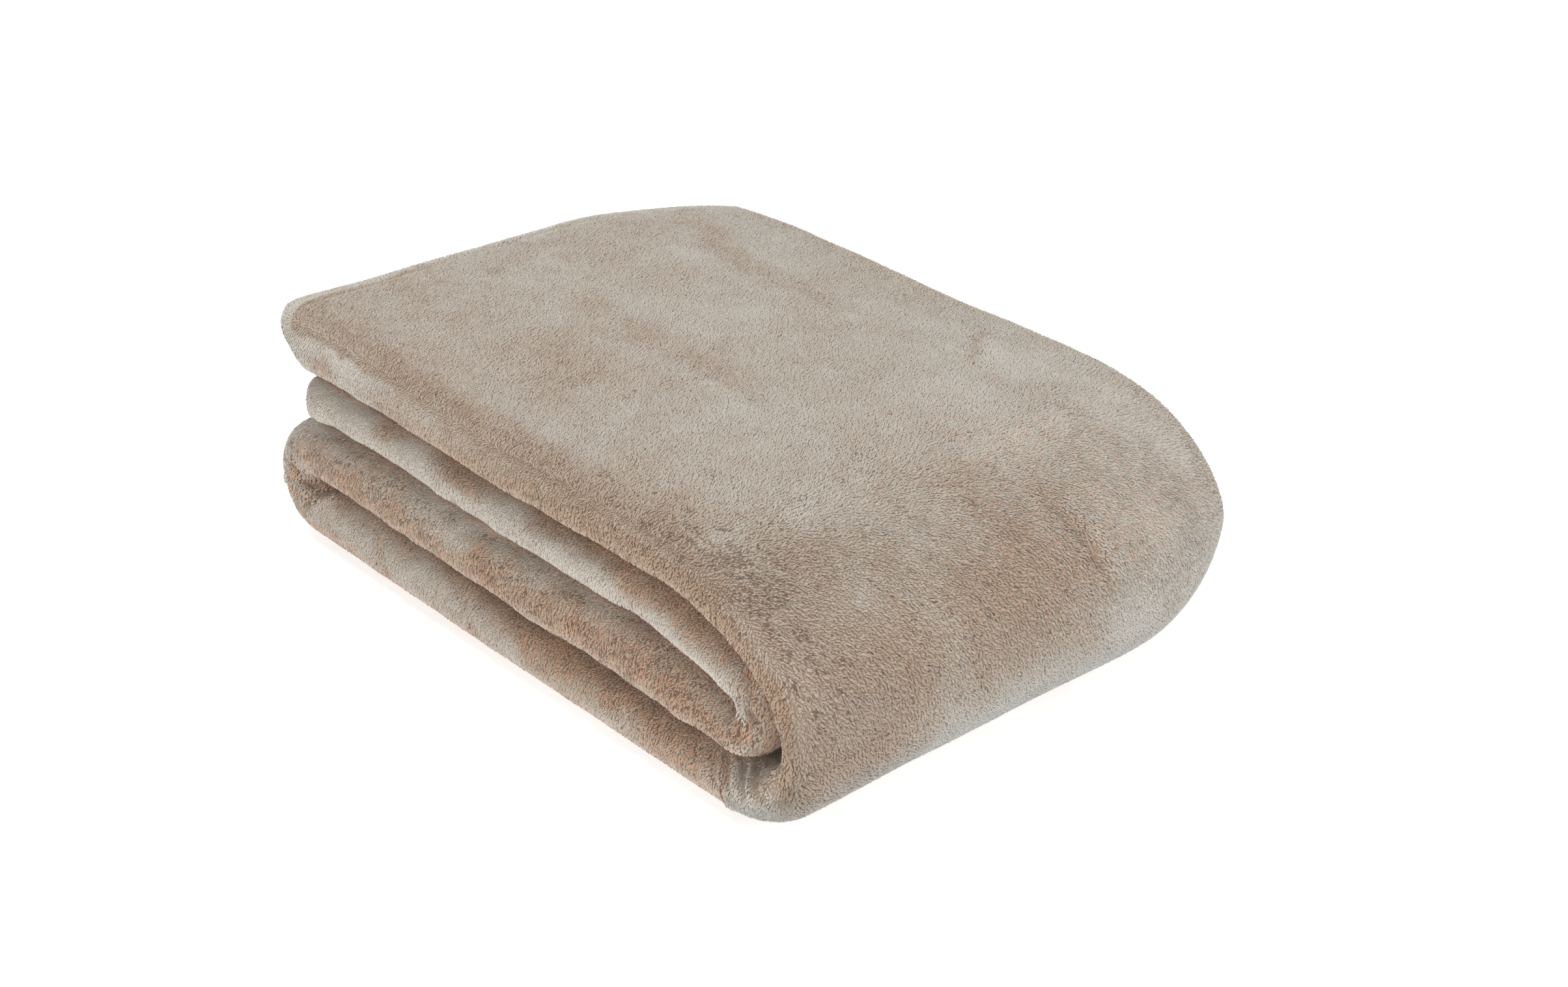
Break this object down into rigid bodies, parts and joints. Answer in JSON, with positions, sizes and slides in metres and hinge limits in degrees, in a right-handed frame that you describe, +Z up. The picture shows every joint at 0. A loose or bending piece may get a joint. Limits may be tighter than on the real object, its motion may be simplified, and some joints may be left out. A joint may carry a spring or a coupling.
{
  "type": "folded throw blanket",
  "caption": "Thick plush throw blanket folded into a flat rectangular pad, with soft rolled edges along its front and a broad rounded fold at one end.",
  "frame": {"origin": "centre of the bounding box at floor level, under the folded throw", "axes": "+X along the folded length towards the big outer fold, +Y from the rolled edges at the front to the hems at the back, +Z up"},
  "size_m": [0.447, 0.3216, 0.1353],
  "materials": {
    "plush": "matte, dense short pile"
  },
  "bodies": {
    "root": {"throw": "plush"}
  },
  "joints": []
}
